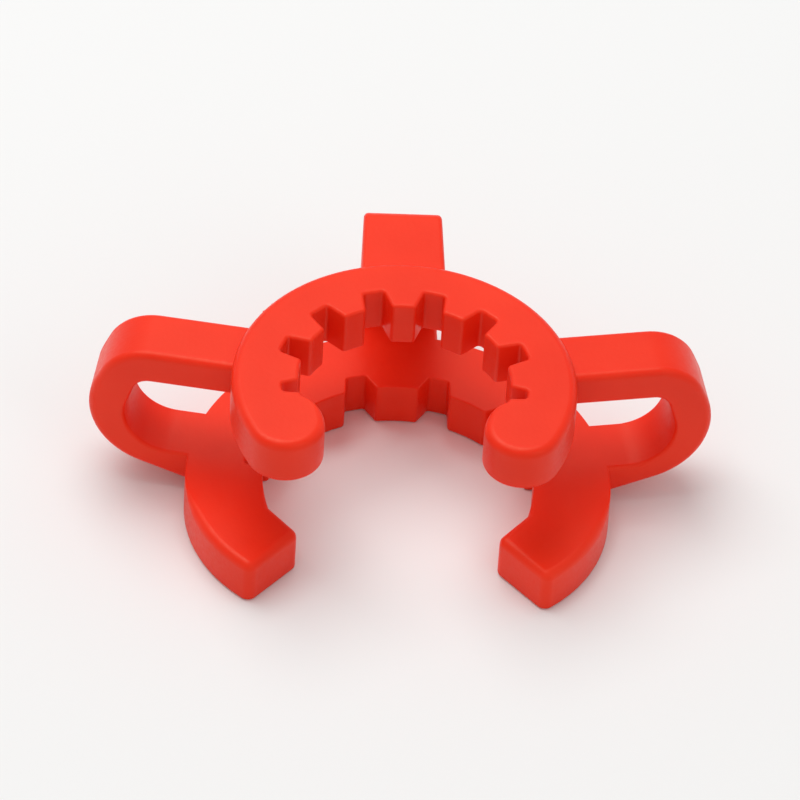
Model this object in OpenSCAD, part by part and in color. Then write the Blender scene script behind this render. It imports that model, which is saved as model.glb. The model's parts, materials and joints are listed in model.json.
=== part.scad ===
// Ground glass joint clip, moulded in one piece.
// Two open toothed rings share one axis: the small one grips the cone's neck, the
// large one the socket's rim. Two side loops and a back strap tie them together.
// Millimetres. Origin on the axis at the large ring's underside, +Z toward the small
// ring, the open mouth toward -Y.

/* [Joint] */
// Radius through the small ring's tooth tips, the neck it grips
neck_r = 8.5; // [8.2:0.1:8.8]
// Radius through the large ring's tooth tips, the socket rim it grips
rim_r = 11; // [10.7:0.1:11.3]
// Height over both rings
clip_h = 15.4; // [14.6:0.1:17]

/* [Small ring] */
// Outer radius
small_outer_r = 13.9; // [13.6:0.1:14.4]
// Height of the ring
small_t = 4; // [3.6:0.1:4.4]
// Radius to the bottom of the notches between the teeth
small_root_r = 10.4; // [10:0.1:10.8]
// Angle from one notch to the next
small_pitch = 27.6; // [26.6:0.1:28]
// Notches on each side of the centre tooth, without the slim last one
small_notches = 3; // [2:1:3]
// Notch width at its bottom
small_root_w = 1.8; // [1.4:0.1:2]
// Notch width at the tooth tips
small_tip_w = 2.2; // [2:0.1:2.4]
// Angle from the back to the slim last notch on each side
last_angle = 97.5; // [96:0.5:99]
// Radius to the bottom of the last notch
last_root_r = 9.9; // [9.6:0.1:10.2]
// Width of the last notch at its bottom
last_root_w = 1; // [0.8:0.1:1.2]
// Width of the last notch at the tooth tips
last_tip_w = 1.4; // [1.2:0.1:1.6]
// Radius of the round bead that ends each arm
bead_r = 3.15; // [2.8:0.05:3.3]
// Angle from the back of the ring to each bead
bead_angle = 118; // [116:0.5:120]

/* [Large ring] */
// Outer radius
large_outer_r = 17.3; // [17:0.1:17.7]
// Height of the ring
large_t = 4; // [3.6:0.1:4.4]
// Radius to the bottom of the notches
large_root_r = 12.6; // [12.2:0.1:13]
// Angle from one notch to the next
large_pitch = 31.6; // [30.6:0.1:32]
// Notches on each side of the centre tooth
large_notches = 3; // [2:1:3]
// Notch width at its bottom
large_root_w = 1.8; // [1.4:0.1:2]
// Notch width at the tooth tips
large_tip_w = 2.7; // [2.4:0.1:3]
// Distance from the axis to the centre of the arc outside each prong
prong_arc_x = 4.2; // [3.8:0.1:4.6]
// Angle that this arc turns through, from the side to the prong's end
prong_sweep = 50.8; // [50:0.1:52]
// Edge radius down both corners of the prong's front face
lip_r = 0.8; // [0.6:0.05:1]
// Half the width between the prongs' lip corners, to the corners' centres
lip_x = 9; // [8.8:0.1:9.2]
// Distance of these centres in front of the axis
lip_y = 6.2; // [6:0.1:6.5]
// Distance in front of the axis where the flat inside each prong starts
flat_y = 3.4; // [3:0.1:3.8]

/* [Side loops] */
// Distance of the top of loops and strap below the small ring's top
top_step = 1; // [0.6:0.1:1.2]
// Distance of their underside above the large ring's underside, inside the ring's wall
foot_step = 0.3; // [0.2:0.1:0.6]
// Width of each loop, front to back
loop_w = 5.2; // [5:0.1:5.6]
// Distance of the pivot line of a loop's front face behind the axis
loop_y = 1.75; // [1.5:0.05:2]
// Angle that the loops sweep back
loop_sweep = 9; // [7:0.5:11]
// Distance from the axis to the centre of the big round at the loop's end
round_x = 19.3; // [18.8:0.1:19.6]
// Radius of this round
round_r = 6.2; // [6:0.1:6.4]
// Distance from the axis to the centre of the loop's top corner
corner_x = 20.5; // [20.2:0.1:20.8]
// Radius of this corner
corner_r = 4.4; // [4.2:0.1:4.7]
// Distance from the axis to the centre of the round that ends the loop's opening
opening_x = 18.8; // [18.5:0.1:19.2]

/* [Back strap] */
// Distance from the axis to the strap's outer face
strap_y = 21.5; // [21:0.1:22]
// Width where it meets the small ring
strap_w = 7; // [6.4:0.1:7.4]
// Width at the outer face
strap_end_w = 6.4; // [5.9:0.1:6.6]
// Thickness of the upright part
strap_t = 2.6; // [2.2:0.1:2.8]
// Radius of its outer corners
strap_corner_r = 1.2; // [0.8:0.1:1.4]
// Radius of its inner corners
strap_inner_r = 0.6; // [0.4:0.1:0.8]

/* [Notch corners and grip ribs] */
// Rounding at the bottom of each notch
root_fillet_r = 0.3; // [0.2:0.05:0.4]
// Angle from one grip rib to the next
rib_pitch = 4.5; // [4.2:0.1:5]
// Radius of each rib
rib_r = 0.35; // [0.3:0.05:0.4]
// Height of the ribs' crests over the ring's wall
rib_h = 0.2; // [0.15:0.05:0.25]
// Distance of the ribs' ends from the ring's faces
rib_end_gap = 0.8; // [0.6:0.1:1.2]
// Angle from the back to the first rib on each side
rib_start = 18; // [18:0.5:21]
// Angle from the back to the last rib that may stand
rib_end = 55; // [50:0.5:56]

/* [Hidden] */
$fn = 96;
rib_fn = 24;
over = 1; // how far a cutting shape runs past what it cuts
small_z = clip_h - small_t;
top_z = clip_h - top_step;
strip_t = top_z - small_z;
bead_centre_r = small_outer_r - bead_r;
prong_r = large_outer_r - prong_arc_x;
flat_x = sqrt(rim_r * rim_r - flat_y * flat_y);
tip_arm = prong_r - lip_r;
lip_tip = [prong_arc_x + tip_arm * cos(prong_sweep), -tip_arm * sin(prong_sweep)];
lip_nose = [lip_x, -lip_y];
lip_way = (lip_tip - lip_nose) / norm(lip_tip - lip_nose);
lip_bury = [-lip_way[1], lip_way[0]] * lip_r / 2; // how deep the lip sits in the prong
small_mid_r = (small_root_r + small_outer_r) / 2; // loops and strap start inside the walls
large_mid_r = (large_root_r + large_outer_r) / 2;
opening_r = (small_z - large_t) / 2;
corner_c = [corner_x, top_z - corner_r];
round_c = [round_x, top_z - round_r];
opening_c = [opening_x, small_z - opening_r];

// Touching points of the straight line along the outside of two circles, left of the
// way from a to b for side -1 and right of it for side 1
function tangent(a, ra, b, rb, side) =
    let (way = b - a,
         turn = atan2(way[1], way[0]) + side * acos((ra - rb) / norm(way)),
         out = [cos(turn), sin(turn)])
    [a + ra * out, b + rb * out];

// Notch between two teeth: straight flanks that open toward the axis
module notch(root_r, tip_r, root_w, tip_w) {
    mouth_r = tip_r - over;
    slope = (tip_w - root_w) / 2 / (root_r - tip_r);
    half = tip_w / 2 + slope * over;
    polygon([
        [-half, mouth_r],
        [-root_w / 2, root_r - root_fillet_r],
        [-root_w / 2 + root_fillet_r, root_r],
        [root_w / 2 - root_fillet_r, root_r],
        [root_w / 2, root_r - root_fillet_r],
        [half, mouth_r]
    ]);
    for (side = [-1, 1])
        translate([side * (root_w / 2 - root_fillet_r), root_r - root_fillet_r])
            circle(root_fillet_r);
}

// All notches of a ring, counted from the centre tooth at the back
module notches(count, pitch, root_r, tip_r, root_w, tip_w) {
    for (side = [-1, 1], i = [0 : count - 1])
        rotate(side * pitch * (i + 0.5))
            notch(root_r, tip_r, root_w, tip_w);
}

// Fine upright grip ribs on a ring's back, from the strap to each loop
module grip_ribs(r, t) {
    for (side = [-1, 1], turn = [rib_start : rib_pitch : rib_end])
        rotate([0, 0, side * turn])
            translate([0, r + rib_h - rib_r, rib_end_gap])
                cylinder(r = rib_r, h = t - 2 * rib_end_gap, $fn = rib_fn);
}

module small_outline() {
    reach = 2 * small_outer_r;
    side_x = reach * sin(bead_angle);
    difference() {
        circle(small_outer_r);
        circle(neck_r);
        polygon([
            [0, 0],
            [side_x, reach * cos(bead_angle)],
            [side_x, -reach],
            [-side_x, -reach],
            [-side_x, reach * cos(bead_angle)]
        ]);
        notches(small_notches, small_pitch, small_root_r, neck_r, small_root_w, small_tip_w);
        for (side = [-1, 1])
            rotate(side * last_angle)
                notch(last_root_r, neck_r, last_root_w, last_tip_w);
    }
    for (side = [-1, 1])
        rotate(side * bead_angle)
            translate([0, bead_centre_r])
                circle(bead_r);
}

// One prong of the large ring, on the +X side: a shallower arc outside, a flat inside
// and a front face that is rounded down both of its corners
module prong_outline() {
    inner = tangent([flat_x, -flat_y], 0, lip_nose, lip_r, -1);
    front = tangent(lip_nose, lip_r, lip_tip, lip_r, -1);
    intersection() {
        translate([prong_arc_x, 0])
            circle(prong_r);
        polygon([
            [flat_x, -flat_y],
            inner[1],
            lip_nose - lip_bury,
            lip_tip,
            [prong_arc_x, 0] + 2 * (lip_tip - [prong_arc_x, 0]),
            [2 * large_outer_r, 0],
            [2 * large_outer_r, over],
            [flat_x, over]
        ]);
    }
    polygon([lip_nose + lip_bury, front[0], front[1], lip_tip + lip_bury]);
    for (p = [lip_nose, lip_tip])
        translate(p)
            circle(lip_r);
}

module large_outline() {
    difference() {
        union() {
            intersection() {
                circle(large_outer_r);
                translate([-large_outer_r, 0])
                    square([2 * large_outer_r, large_outer_r]);
            }
            for (side = [0, 1])
                mirror([side, 0])
                    prong_outline();
        }
        intersection() {
            circle(rim_r);
            translate([-large_outer_r, -flat_y])
                square([2 * large_outer_r, 2 * large_outer_r]);
        }
        notches(large_notches, large_pitch, large_root_r, rim_r, large_root_w, large_tip_w);
    }
}

// Outline of a loop or of its opening: a flat top, a round corner, a big round end and
// a straight underside down to its foot. The two starts are where its legs begin, in
// the small ring's wall and in the large one's.
module loop_outline(start_top, start_foot, corner_radius, end_c, end_r, foot_z) {
    foot = [start_foot, foot_z];
    end = tangent(corner_c, corner_radius, end_c, end_r, 1);
    under = tangent(end_c, end_r, foot, 0, 1);
    polygon([
        foot,
        under[0],
        end_c,
        end[1],
        end[0],
        corner_c,
        corner_c + [0, corner_radius],
        [start_top, corner_c[1] + corner_radius],
        [start_top, opening_c[1]],
        [start_foot, opening_c[1]]
    ]);
    translate(corner_c)
        circle(corner_radius);
    translate(end_c)
        circle(end_r);
}

// Side loop on the +X side: a bent strip that ties the two rings together
module side_loop() {
    start = small_mid_r - over;
    translate([small_outer_r, loop_y, 0])
        rotate([0, 0, loop_sweep])
            translate([-small_outer_r, loop_w, 0])
                rotate([90, 0, 0])
                    linear_extrude(loop_w)
                        difference() {
                            loop_outline(small_mid_r, large_mid_r, corner_r, round_c,
                                round_r, foot_step);
                            loop_outline(start, start, corner_r - strip_t, opening_c,
                                opening_r, large_t);
                        }
}

// Side view of the strap or of its opening, with the outer pair of corners rounded
module strap_section(y1, z0, z1, r) {
    translate([small_root_r, z0])
        square([y1 - r - small_root_r, z1 - z0]);
    translate([small_root_r, z0 + r])
        square([y1 - small_root_r, z1 - z0 - 2 * r]);
    for (z = [z0 + r, z1 - r])
        translate([y1 - r, z])
            circle(r);
}

// Strap at the back: a squared loop, narrower toward its outer face
module back_strap() {
    difference() {
        intersection() {
            translate([-strap_w, 0, 0])
                rotate([90, 0, 90])
                    linear_extrude(2 * strap_w)
                        difference() {
                            strap_section(strap_y, foot_step, top_z, strap_corner_r);
                            strap_section(strap_y - strap_t, large_t, small_z,
                                strap_inner_r);
                        }
            linear_extrude(clip_h)
                polygon([
                    [-strap_w / 2, small_mid_r],
                    [-strap_end_w / 2, strap_y],
                    [strap_end_w / 2, strap_y],
                    [strap_w / 2, small_mid_r]
                ]);
        }
        translate([0, 0, -over])
            cylinder(r = large_mid_r, h = small_z);
    }
}

module joint_clip() {
    color([0.93, 0.2, 0.13])
        union() {
            linear_extrude(large_t)
                large_outline();
            grip_ribs(large_outer_r, large_t);
            translate([0, 0, small_z]) {
                linear_extrude(small_t)
                    small_outline();
                grip_ribs(small_outer_r, small_t);
            }
            for (side = [0, 1])
                mirror([side, 0, 0])
                    side_loop();
            back_strap();
        }
}

joint_clip();
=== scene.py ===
# Ground glass joint clip, one piece of red moulded acetal, lying on its large ring.
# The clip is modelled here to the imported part's sizes, with fine arcs and the rounded
# edges of a moulding. Lengths in the dictionaries are millimetres, angles are degrees.
import bpy
import json
from math import radians, degrees, sin, cos, tan, asin, acos, atan2, sqrt
from mathutils import Vector, Matrix

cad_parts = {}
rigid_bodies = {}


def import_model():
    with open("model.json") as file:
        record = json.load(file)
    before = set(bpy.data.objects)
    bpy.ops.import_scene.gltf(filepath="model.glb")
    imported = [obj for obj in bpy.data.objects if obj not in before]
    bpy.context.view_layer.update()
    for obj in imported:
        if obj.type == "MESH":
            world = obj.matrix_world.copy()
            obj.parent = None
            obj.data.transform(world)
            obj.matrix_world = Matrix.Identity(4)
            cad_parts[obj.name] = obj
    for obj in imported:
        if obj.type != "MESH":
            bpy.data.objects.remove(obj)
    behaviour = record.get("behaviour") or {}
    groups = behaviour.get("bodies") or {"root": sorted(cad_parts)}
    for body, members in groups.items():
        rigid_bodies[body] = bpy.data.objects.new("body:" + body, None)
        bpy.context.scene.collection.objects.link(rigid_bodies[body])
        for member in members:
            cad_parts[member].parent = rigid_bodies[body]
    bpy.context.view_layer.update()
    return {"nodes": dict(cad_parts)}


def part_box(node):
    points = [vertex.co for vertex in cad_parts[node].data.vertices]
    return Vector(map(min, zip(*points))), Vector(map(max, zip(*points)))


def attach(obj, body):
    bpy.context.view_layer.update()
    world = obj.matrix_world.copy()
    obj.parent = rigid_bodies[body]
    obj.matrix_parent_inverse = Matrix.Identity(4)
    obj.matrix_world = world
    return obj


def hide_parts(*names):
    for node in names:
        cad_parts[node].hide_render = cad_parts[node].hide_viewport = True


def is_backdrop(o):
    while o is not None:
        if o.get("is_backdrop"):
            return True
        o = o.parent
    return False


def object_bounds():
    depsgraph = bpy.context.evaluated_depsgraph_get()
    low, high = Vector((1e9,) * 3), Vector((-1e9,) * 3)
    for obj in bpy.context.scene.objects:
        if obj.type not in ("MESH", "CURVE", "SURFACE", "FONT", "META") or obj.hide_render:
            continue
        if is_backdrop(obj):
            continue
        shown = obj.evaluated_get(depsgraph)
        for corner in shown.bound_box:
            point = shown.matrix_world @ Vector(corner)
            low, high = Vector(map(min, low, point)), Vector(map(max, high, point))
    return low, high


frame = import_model()
print("frame loaded:", ", ".join(sorted(frame["nodes"])))

mm = 0.001
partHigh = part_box("joint_clip")[1] / mm


def linearColour(hexText):
    channels = [int(hexText[i:i + 2], 16) / 255 for i in (1, 3, 5)]
    return [c / 12.92 if c <= 0.04045 else ((c + 0.055) / 1.055) ** 2.4 for c in channels] + [1.0]


def addNode(tree, kind, spot, links=(), **settings):
    # adds one node, sets its properties and sockets, then links what feeds it
    node = tree.nodes.new(kind)
    node.location = spot
    for name, value in settings.items():
        if hasattr(node, name):
            setattr(node, name, value)
        else:
            node.inputs[name.replace("_", " ")].default_value = value
    for source, target in links:
        tree.links.new(source, node.inputs[target])
    return node


def pickOnly(obj):
    if bpy.context.object and bpy.context.object.mode != "OBJECT":
        bpy.ops.object.mode_set(mode="OBJECT")
    bpy.ops.object.select_all(action="DESELECT")
    obj.select_set(True)
    bpy.context.view_layer.objects.active = obj


def editAll(obj, *steps):
    # runs edit mode steps on the whole mesh
    pickOnly(obj)
    bpy.ops.object.mode_set(mode="EDIT")
    bpy.ops.mesh.select_all(action="SELECT")
    for step in steps:
        step()
    bpy.ops.object.mode_set(mode="OBJECT")


def mergeDoubles():
    bpy.ops.mesh.remove_doubles(threshold=meshing["mergeGap"] * mm)


def dropSlivers():
    bpy.ops.mesh.dissolve_degenerate(threshold=meshing["sliver"] * mm)


def turnOutward():
    bpy.ops.mesh.normals_make_consistent(inside=False)


# what every part of the clip shares
mould = {
    "top": partHigh.z,      # the small ring's upper face
    "ringHeight": 4.0,      # of either ring
    "loopStep": 1.0,        # loops and strap lie this far below the top
    "loopFoot": 0.3,        # and their feet this far above the table
    "notchFillet": 0.3,
    "filletStep": 18.0,     # angle between points on a notch's fillet
    "corner": 0.35,         # rounding of the teeth's upright corners
    "cornerShare": 0.9,     # of a short side, the most that a rounded corner takes
    "softEdge": 0.75,       # rounding of the edges that the joint slides past
    "edge": 0.3,            # of the teeth, the openings and the underside
    "coreEdge": 0.14,       # and where the side cores met, between the rings
    "edgeSteps": 5,
    "cornerStep": 18.0,     # angle between points on a rounded corner
    "sharpFrom": 28.0,      # corners that turn less than this stay as they are
}

# how exactly the meshes are made
meshing = {
    "samePoint": 0.002,     # mm, outline points closer than this are one
    "mergeGap": 0.001,      # mm, vertices closer than this are merged
    "sliver": 0.0005,       # mm, thinner faces are dissolved
    "slack": 0.01,          # mm, when a place is compared with a face
    "smoothUpTo": 40.0,     # degrees between faces that shade as one
}

sill = mould["ringHeight"]                      # large ring's upper face
roof = mould["top"] - mould["ringHeight"]       # small ring's underside
loopTop = mould["top"] - mould["loopStep"]


def arc(centre, radius, start, end, step=3.0):
    # points on an arc, its angles counted from the right
    count = max(1, round(abs(end - start) / step))
    turns = [radians(start + (end - start) * i / count) for i in range(count + 1)]
    return [Vector((centre[0] + radius * cos(t), centre[1] + radius * sin(t))) for t in turns]


def tangentAngle(first, firstRadius, second, secondRadius, side):
    # where a straight line along the outside of two circles touches them
    way = Vector(second) - Vector(first)
    return degrees(atan2(way.y, way.x) + side * acos((firstRadius - secondRadius) / way.length))


def notchRow(ring):
    # angle, root radius, root width and tip width of a side's notches, up to the back
    turns = [90 - ring["notchPitch"] * (i + 0.5) for i in reversed(range(ring["notchCount"]))]
    return [(turn, ring["notchRoot"], *ring["notchWidths"]) for turn in turns]


def toothedWall(radius, start, notches):
    # along a bore from the arm to the middle of the back, in and out of every notch
    fillet = mould["notchFillet"]
    path = []
    for turn, root, rootWidth, tipWidth in notches:
        half = degrees(asin(tipWidth / 2 / radius))
        path += arc((0, 0), radius, start, turn - half)
        corner = rootWidth / 2 - fillet
        bottom = arc((root - fillet, -corner), fillet, -90, 0, mould["filletStep"])
        bottom += arc((root - fillet, corner), fillet, 0, 90, mould["filletStep"])
        path += [Matrix.Rotation(radians(turn), 2) @ p for p in bottom]
        start = turn + half
    return path + arc((0, 0), radius, start, 90)


def bothSides(half):
    # adds the mirrored way back to an outline that starts and ends in the middle plane
    return half + [Vector((-p.x, p.y)) for p in reversed(half)][1:-1]


def cleaned(outline):
    # runs an outline counterclockwise and leaves out points that lie together
    path = [p for i, p in enumerate(outline) if (p - outline[i - 1]).length > meshing["samePoint"]]
    if sum(path[i - 1].cross(p) for i, p in enumerate(path)) < 0:
        path.reverse()
    return path


def roundedCorners(outline):
    # an outline's outward corners as small arcs
    path = []
    for i, point in enumerate(outline):
        back = outline[i - 1] - point
        on = outline[(i + 1) % len(outline)] - point
        turn = radians(180) - back.angle(on)
        if turn < radians(mould["sharpFrom"]) or on.cross(back) < 0:
            path.append(point)
            continue
        share = mould["cornerShare"]
        reach = min(mould["corner"] * tan(turn / 2), share * back.length, share * on.length)
        back.normalize()
        on.normalize()
        start = point + back * reach
        middle = point + (back + on).normalized() * reach / sin(turn / 2)
        count = round(degrees(turn) / mould["cornerStep"])
        for k in range(count + 1):
            path.append(middle + Matrix.Rotation(turn * k / count, 2) @ (start - middle))
    return path


def mouldedPrism(name, outline, height, lowEdge, highEdge):
    # an outline pulled up by its height. The two functions give the rounding of the lower
    # and upper edge at a point of the outline.
    count = len(outline)
    rounding = []
    for i, point in enumerate(outline):
        before = (point - outline[i - 1]).normalized()
        after = (outline[(i + 1) % count] - point).normalized()
        lean = Vector((-before.y - after.y, before.x + after.x))
        inward = lean * 2 / lean.length_squared
        rounding.append((point, inward, lowEdge(point), highEdge(point)))
    verts = []
    turns = [radians(90 * i / mould["edgeSteps"]) for i in range(mould["edgeSteps"] + 1)]
    for turn in turns:
        for point, inward, low, high in rounding:
            place = point + inward * low * (1 - sin(turn))
            verts.append((*place, low * (1 - cos(turn))))
    for turn in reversed(turns):
        for point, inward, low, high in rounding:
            place = point + inward * high * (1 - sin(turn))
            verts.append((*place, height - high * (1 - cos(turn))))
    faces = [list(range(count))]
    for base in range(0, len(verts) - count, count):
        for i in range(count):
            on = (i + 1) % count
            faces.append((base + i, base + on, base + on + count, base + i + count))
    faces.append(list(range(len(verts) - count, len(verts))))
    mesh = bpy.data.meshes.new(name)
    mesh.from_pydata([Vector(v) * mm for v in verts], [], faces)
    obj = bpy.data.objects.new(name, mesh)
    bpy.context.scene.collection.objects.link(obj)
    editAll(obj, mergeDoubles, turnOutward)
    return obj


def fade(start, end, low, high):
    # from one rounding to another over a stretch, as a function of the place
    return lambda place: start + (end - start) * min(1, max(0, (place - low) / (high - low)))


def plainEdge(point):
    return mould["edge"]


def settle(obj, matrix):
    # moves a piece and leaves its place in its mesh
    pickOnly(obj)
    obj.matrix_world = matrix
    bpy.ops.object.transform_apply(location=True, rotation=True, scale=True)


def ownCopy(obj, name):
    twin = obj.copy()
    twin.data = obj.data.copy()
    twin.name = name
    bpy.context.scene.collection.objects.link(twin)
    return twin


# large ring, open at the front between two blunt prongs
largeRing = {
    "outer": 17.3, "bore": 11.0,      # the bore runs through the tooth tips
    "notchCount": 3, "notchPitch": 31.6, "notchRoot": 12.6, "notchWidths": (1.8, 2.7),
    "prongArc": 4.2,                  # the prong's outside turns about a point this far off the axis
    "prongEnd": -50.8,
    "lip": 0.8, "lipStep": 12.0, "lipNose": (9.0, -6.2), "flatStart": -3.4,
    "softFrom": 1.5, "softTo": 4.5,   # the upper edge turns soft here, in front of the axis
}


def largeOutline():
    outer, bore, lip = largeRing["outer"], largeRing["bore"], largeRing["lip"]
    middle = (largeRing["prongArc"], 0)
    prongRadius = outer - largeRing["prongArc"]
    endTurn = radians(largeRing["prongEnd"])
    tip = Vector(middle) + (prongRadius - lip) * Vector((cos(endTurn), sin(endTurn)))
    nose = Vector(largeRing["lipNose"])
    flat = Vector((sqrt(bore ** 2 - largeRing["flatStart"] ** 2), largeRing["flatStart"]))
    front = tangentAngle(nose, lip, tip, lip, -1)
    inner = tangentAngle(flat, 0, nose, lip, -1)
    half = arc((0, 0), outer, 90, 0) + arc(middle, prongRadius, 0, largeRing["prongEnd"])
    half += arc(tip, lip, largeRing["prongEnd"], front, largeRing["lipStep"])
    half += arc(nose, lip, front, inner, largeRing["lipStep"])
    half += toothedWall(bore, degrees(atan2(flat.y, flat.x)), notchRow(largeRing))
    return roundedCorners(cleaned(bothSides(half)))


# the prongs' upper edges are soft, the rest of them lies between the rings
prongEdge = fade(mould["coreEdge"], mould["softEdge"], largeRing["softFrom"], largeRing["softTo"])
body = mouldedPrism("clipBody", largeOutline(), mould["ringHeight"],
                    plainEdge, lambda p: prongEdge(-p.y))
print("large ring done")


# small ring, its arms ending in round beads
smallRing = {
    "outer": 13.9, "bore": 8.5,
    "notchCount": 3, "notchPitch": 27.6, "notchRoot": 10.4, "notchWidths": (1.8, 2.2),
    "lastNotch": (-7.5, 9.9, 1.0, 1.4),   # the slim one before the bead: angle, root, widths
    "bead": 3.15, "beadTurn": -28.0, "beadStep": 6.0,
    "wallFrom": 10.6, "wallTo": 11.8,     # from the teeth's edge out to the wall's
    "beadFrom": 2.5, "beadTo": 4.0,       # and forward to the bead's
}


def smallOutline():
    outer, bore, bead = smallRing["outer"], smallRing["bore"], smallRing["bead"]
    beadTurn = radians(smallRing["beadTurn"])
    middle = (outer - bead) * Vector((cos(beadTurn), sin(beadTurn)))
    # the bead runs round until it meets the bore
    meet = beadTurn + acos((middle.length ** 2 + bore ** 2 - bead ** 2) / (2 * middle.length * bore))
    inward = bore * Vector((cos(meet), sin(meet))) - middle
    half = arc((0, 0), outer, 90, smallRing["beadTurn"])
    half += arc(middle, bead, smallRing["beadTurn"], degrees(atan2(inward.y, inward.x)) - 360,
                smallRing["beadStep"])
    half += toothedWall(bore, degrees(meet), [smallRing["lastNotch"]] + notchRow(smallRing))
    return roundedCorners(cleaned(bothSides(half)))


wallEdge = fade(mould["edge"], mould["softEdge"], smallRing["wallFrom"], smallRing["wallTo"])
beadEdge = fade(mould["edge"], mould["softEdge"], smallRing["beadFrom"], smallRing["beadTo"])
underEdge = fade(mould["coreEdge"], mould["edge"], smallRing["beadFrom"], smallRing["beadTo"])
upperRing = mouldedPrism("upperRing", smallOutline(), mould["ringHeight"],
                         lambda p: underEdge(-p.y),
                         lambda p: max(wallEdge(p.length), beadEdge(-p.y)))
settle(upperRing, Matrix.Translation((0, 0, roof * mm)))
print("small ring done")


# side loops, drawn standing up: distance from the axis, height
sideLoop = {
    "width": 5.2,
    "face": 1.75, "sweep": 9.0,   # the front face leaves the small ring here and swings back
    "cornerAt": 20.5, "cornerRadius": 4.4, "cornerStep": 5.0,
    "roundAt": 19.3, "roundRadius": 6.2, "roundStep": 4.0,
    "openingAt": 18.8, "openingStep": 5.0, "insideStep": 10.0,
    "edge": 0.6,
}
# loops and strap start in the middle of the rings' walls
topStart = (smallRing["notchRoot"] + smallRing["outer"]) / 2
footStart = (largeRing["notchRoot"] + largeRing["outer"]) / 2
standing = Matrix.Rotation(radians(90), 4, "X")


def edgeOf(part, openingReach):
    # a part's own rounding, and the plain one round its opening
    slack = meshing["slack"]

    def edgeAt(point):
        beside = sill - slack < point.y < roof + slack
        inOpening = beside and point.x < openingReach + slack
        return mould["edge"] if inOpening else part["edge"]

    return edgeAt


def loopOutline():
    outside, roundRadius = sideLoop["cornerRadius"], sideLoop["roundRadius"]
    inside = outside - (loopTop - roof)
    openingRadius = (roof - sill) / 2
    corner = (sideLoop["cornerAt"], loopTop - outside)
    rounded = (sideLoop["roundAt"], loopTop - roundRadius)
    opening = (sideLoop["openingAt"], roof - openingRadius)
    foot = (footStart, mould["loopFoot"])
    turn = tangentAngle(corner, outside, rounded, roundRadius, 1)
    under = tangentAngle(rounded, roundRadius, foot, 0, 1)
    openTurn = tangentAngle(corner, inside, opening, openingRadius, 1)
    path = [Vector((topStart, loopTop))]
    path += arc(corner, outside, 90, turn, sideLoop["cornerStep"])
    path += arc(rounded, roundRadius, turn, under, sideLoop["roundStep"])
    path += [Vector(foot), Vector((footStart, sill))]
    path += arc(opening, openingRadius, -90, openTurn, sideLoop["openingStep"])
    path += arc(corner, inside, openTurn, 90, sideLoop["insideStep"])
    return cleaned(path + [Vector((topStart, roof))])


loopEdge = edgeOf(sideLoop, sideLoop["openingAt"] + (roof - sill) / 2)
pivot = Vector((smallRing["outer"], sideLoop["face"], 0)) * mm
rightLoop = mouldedPrism("rightLoop", loopOutline(), sideLoop["width"], loopEdge, loopEdge)
settle(rightLoop, Matrix.Translation(pivot) @ Matrix.Rotation(radians(sideLoop["sweep"]), 4, "Z")
       @ Matrix.Translation(Vector((-smallRing["outer"], sideLoop["width"], 0)) * mm) @ standing)
leftLoop = ownCopy(rightLoop, "leftLoop")
settle(leftLoop, Matrix.Scale(-1, 4, (1, 0, 0)))
editAll(leftLoop, turnOutward)
print("side loops done")


# back strap, a squared loop that narrows toward its outer face
backStrap = {
    "outer": partHigh.y, "thick": 2.6,
    "width": 7.0, "endWidth": 6.4,
    "outerCorner": 1.2, "outerStep": 10.0,
    "innerCorner": 0.6, "innerStep": 18.0,
    "edge": 0.4,
}


def strapOutline():
    outerCorner, outerStep = backStrap["outerCorner"], backStrap["outerStep"]
    innerCorner, innerStep = backStrap["innerCorner"], backStrap["innerStep"]
    foot = mould["loopFoot"]
    out = backStrap["outer"] - outerCorner
    back = backStrap["outer"] - backStrap["thick"] - innerCorner
    path = [Vector((topStart, loopTop))]
    path += arc((out, loopTop - outerCorner), outerCorner, 90, 0, outerStep)
    path += arc((out, foot + outerCorner), outerCorner, 0, -90, outerStep)
    path += [Vector((footStart, foot)), Vector((footStart, sill))]
    path += arc((back, sill + innerCorner), innerCorner, -90, 0, innerStep)
    path += arc((back, roof - innerCorner), innerCorner, 0, 90, innerStep)
    return cleaned(path + [Vector((topStart, roof))])


strapEdge = edgeOf(backStrap, backStrap["outer"] - backStrap["thick"])
strap = mouldedPrism("strap", strapOutline(), backStrap["width"], strapEdge, strapEdge)
settle(strap, Matrix.Rotation(radians(90), 4, "Z") @ standing
       @ Matrix.Translation((0, 0, -backStrap["width"] / 2 * mm)))
for vert in strap.data.vertices:
    along = (vert.co.y / mm - topStart) / (backStrap["outer"] - topStart)
    vert.co.x *= 1 + (backStrap["endWidth"] / backStrap["width"] - 1) * along
print("back strap done")


# fine upright ribs on the rings' backs, for the finger that pushes the clip on
gripRib = {
    "radius": 0.35, "sides": 24,
    "crest": 0.2,                     # how far its crest stands out of the wall
    "endGap": 0.8,
    "firstTurn": 18.0, "pitch": 4.5, "count": 9,   # from the strap to the loop, on each side
}

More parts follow.
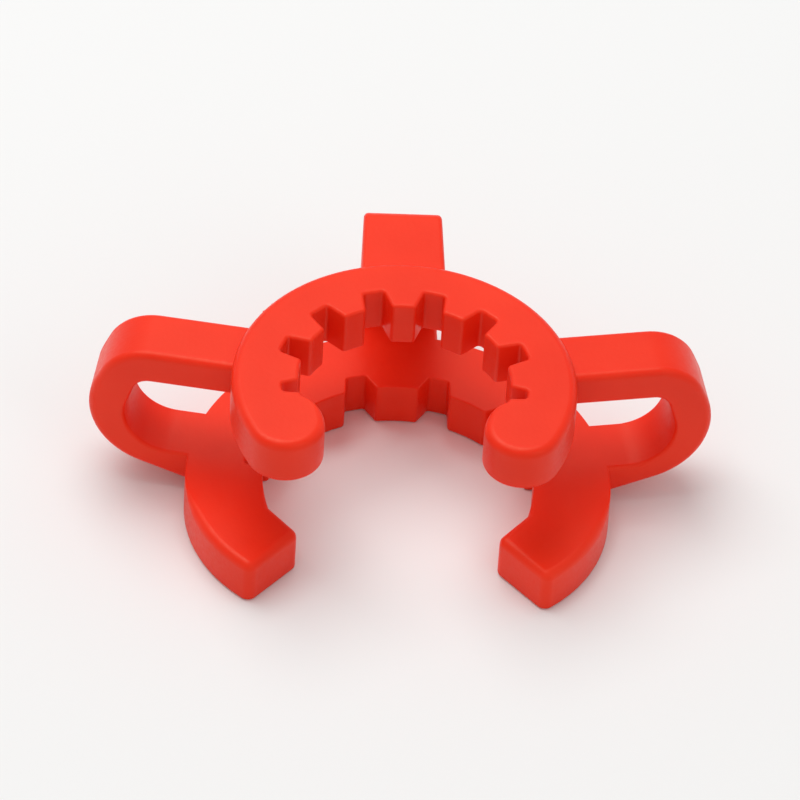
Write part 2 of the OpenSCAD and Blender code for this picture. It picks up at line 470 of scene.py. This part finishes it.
bpy.ops.object.select_all(action="DESELECT")
bpy.ops.mesh.primitive_cylinder_add(vertices=gripRib["sides"], radius=gripRib["radius"] * mm,
                                    depth=(mould["ringHeight"] - 2 * gripRib["endGap"]) * mm)
firstRib = bpy.context.object
ribs = []
for outer, low in ((largeRing["outer"], 0), (smallRing["outer"], roof)):
    reach = outer + gripRib["crest"] - gripRib["radius"]
    for i in range(gripRib["count"]):
        for side in (-1, 1):
            turn = radians(gripRib["firstTurn"] + gripRib["pitch"] * i)
            rib = ownCopy(firstRib, "rib")
            settle(rib, Matrix.Translation(Vector((side * reach * sin(turn), reach * cos(turn),
                                                   low + mould["ringHeight"] / 2)) * mm))
            ribs.append(rib)
bpy.data.objects.remove(firstRib)
for rib in ribs:
    rib.select_set(True)
bpy.ops.object.join()
gripRibs = bpy.context.object
print("grip ribs done")


# one moulding out of all of them
for tool in (upperRing, rightLoop, leftLoop, strap, gripRibs):
    pickOnly(body)
    fuse = body.modifiers.new(tool.name, "BOOLEAN")
    fuse.operation = "UNION"
    fuse.solver = "EXACT"
    fuse.object = tool
    bpy.ops.object.modifier_apply(modifier=fuse.name)
    bpy.data.objects.remove(tool)

editAll(body, mergeDoubles, dropSlivers)
bpy.ops.object.shade_smooth_by_angle(angle=radians(meshing["smoothUpTo"]))
even = body.modifiers.new("evenNormals", "WEIGHTED_NORMAL")
even.keep_sharp = True
bpy.ops.object.modifier_apply(modifier=even.name)
print("clip body:", len(body.data.polygons), "faces")


plastic = {
    "colour": "#F43016",       # pigment in the open
    "deepColour": "#EA270E",   # where the flow left it denser
    "flowScale": 9,            # mm between the soft streaks of pigment
    "middle": (0.3, 0.7),      # part of a noise that is spread over the full range
    "ior": 1.48,
    "throughLight": 0.4,       # acetal lets some light in
    "throughReach": (1.0, 0.25, 0.12),   # most of it red
    "throughDepth": 0.9,       # mm
    "roughness": (0.32, 0.46),
    "gloss": 0.33,
    "sheen": (1.0, 0.9, 0.63),   # the pigment warms the gloss a little
    "grain": 0.35,             # mm, the mould's spark-eroded grain, drawn coarse enough to show
    "grainHeight": 0.012,      # mm
    "waveHeight": 0.05,        # mm, shallow sink over the thick places
    "waveScale": 6,            # mm from one to the next
}


def acetalMaterial():
    # acetal from a satin mould: saturated, waxy, with a soft broad highlight
    mat = bpy.data.materials.new("acetal, injection moulded, red")
    mat.use_nodes = True
    tree = mat.node_tree
    tree.nodes.clear()
    out = addNode(tree, "ShaderNodeOutputMaterial", (900, 0))
    shader = addNode(tree, "ShaderNodeBsdfPrincipled", (600, 0))
    shader.inputs["IOR"].default_value = plastic["ior"]
    shader.inputs["Specular IOR Level"].default_value = plastic["gloss"]
    shader.inputs["Specular Tint"].default_value = (*plastic["sheen"], 1)
    shader.inputs["Subsurface Weight"].default_value = plastic["throughLight"]
    shader.inputs["Subsurface Radius"].default_value = plastic["throughReach"]
    shader.inputs["Subsurface Scale"].default_value = plastic["throughDepth"] * mm
    tree.links.new(shader.outputs[0], out.inputs["Surface"])
    coords = addNode(tree, "ShaderNodeTexCoord", (-900, 0))
    flow = addNode(tree, "ShaderNodeTexNoise", (-600, 250), [(coords.outputs["Object"], "Vector")],
                   Scale=1 / (plastic["flowScale"] * mm), Detail=2.0, Roughness=0.45)
    least, most = plastic["middle"]
    blend = addNode(tree, "ShaderNodeMapRange", (-350, 250), [(flow.outputs["Fac"], "Value")],
                    From_Min=least, From_Max=most)
    tint = addNode(tree, "ShaderNodeMix", (0, 250), data_type="RGBA")
    tint.inputs[6].default_value = linearColour(plastic["deepColour"])
    tint.inputs[7].default_value = linearColour(plastic["colour"])
    tree.links.new(blend.outputs[0], tint.inputs[0])
    tree.links.new(tint.outputs[2], shader.inputs["Base Color"])
    grain = addNode(tree, "ShaderNodeTexNoise", (-600, -150), [(coords.outputs["Object"], "Vector")],
                    Scale=1 / (plastic["grain"] * mm), Detail=3.0, Roughness=0.6)
    low, high = plastic["roughness"]
    rough = addNode(tree, "ShaderNodeMapRange", (0, -50), [(grain.outputs["Fac"], "Value")],
                    From_Min=least, From_Max=most, To_Min=low, To_Max=high)
    tree.links.new(rough.outputs[0], shader.inputs["Roughness"])
    sink = addNode(tree, "ShaderNodeTexNoise", (-600, -450), [(coords.outputs["Object"], "Vector")],
                   Scale=1 / (plastic["waveScale"] * mm), Detail=1.0)
    sinkBump = addNode(tree, "ShaderNodeBump", (0, -450), [(sink.outputs["Fac"], "Height")],
                       Strength=1.0, Distance=plastic["waveHeight"] * mm)
    grainBump = addNode(tree, "ShaderNodeBump", (250, -300),
                        [(grain.outputs["Fac"], "Height"), (sinkBump.outputs[0], "Normal")],
                        Strength=1.0, Distance=plastic["grainHeight"] * mm)
    tree.links.new(grainBump.outputs[0], shader.inputs["Normal"])
    return mat


body.data.materials.clear()
body.data.materials.append(acetalMaterial())
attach(body, "root")
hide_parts("joint_clip")
print("plastic done")


studio = {
    "tableColour": "#EDEDEC",
    "tableSize": 1.6,         # m
    "tableRoughness": 0.9, "tableGloss": 0.1,
    "worldLight": 0.56,
    "keySpot": (-0.12, 0.18, 0.6), "keySize": (0.5, 0.5), "keyPower": 2.6,
    "fillSpot": (0.35, -0.35, 0.35), "fillSize": (0.3, 0.3), "fillPower": 0.2,
}

bpy.ops.object.select_all(action="DESELECT")
bpy.ops.mesh.primitive_plane_add(size=studio["tableSize"], location=(0, 0, 0))
table = bpy.context.object
table.name = "tableTop"
paper = bpy.data.materials.new("matt paper, white")
paper.use_nodes = True
paperShader = paper.node_tree.nodes["Principled BSDF"]
paperShader.inputs["Base Color"].default_value = linearColour(studio["tableColour"])
paperShader.inputs["Roughness"].default_value = studio["tableRoughness"]
paperShader.inputs["Specular IOR Level"].default_value = studio["tableGloss"]
table.data.materials.append(paper)
table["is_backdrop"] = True

world = bpy.data.worlds.new("studio")
world.use_nodes = True
sky = world.node_tree.nodes["Background"]
sky.inputs["Color"].default_value = (1, 1, 1, 1)
sky.inputs["Strength"].default_value = studio["worldLight"]
bpy.context.scene.world = world


def softBox(name, spot, size, power):
    bpy.ops.object.light_add(type="AREA", location=spot)
    lamp = bpy.context.object
    lamp.name = name
    lamp.data.shape = "RECTANGLE"
    lamp.data.size = size[0]
    lamp.data.size_y = size[1]
    lamp.data.energy = power
    lamp.rotation_euler = (Vector((0, 0, 0)) - Vector(spot)).to_track_quat("-Z", "Y").to_euler()


softBox("keyBox", studio["keySpot"], studio["keySize"], studio["keyPower"])
softBox("fillBox", studio["fillSpot"], studio["fillSize"], studio["fillPower"])
print("studio lit")


view = {
    "azimuth": -2.85, "elevation": 43.54, "roll": 3.8,   # degrees, seen from the front and above
    "distance": 0.5894, "aim": (0.0, 0.0056, 0.0077),
    "lens": 326, "sensor": 36,
    "nearest": 0.01, "farthest": 10,
}
turn, lift = radians(view["azimuth"]), radians(view["elevation"])
away = Vector((sin(turn) * cos(lift), -cos(turn) * cos(lift), sin(lift)))
bpy.ops.object.camera_add(location=Vector(view["aim"]) + away * view["distance"])
camera = bpy.context.object
camera.rotation_mode = "QUATERNION"
level = (-away).to_track_quat("-Z", "Y")
camera.rotation_quaternion = level @ Matrix.Rotation(radians(view["roll"]), 3, "Z").to_quaternion()
camera.data.lens = view["lens"]
camera.data.sensor_width = view["sensor"]
camera.data.clip_start = view["nearest"]
camera.data.clip_end = view["farthest"]
bpy.context.scene.camera = camera
bpy.context.scene.view_settings.view_transform = "Standard"

low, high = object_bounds()
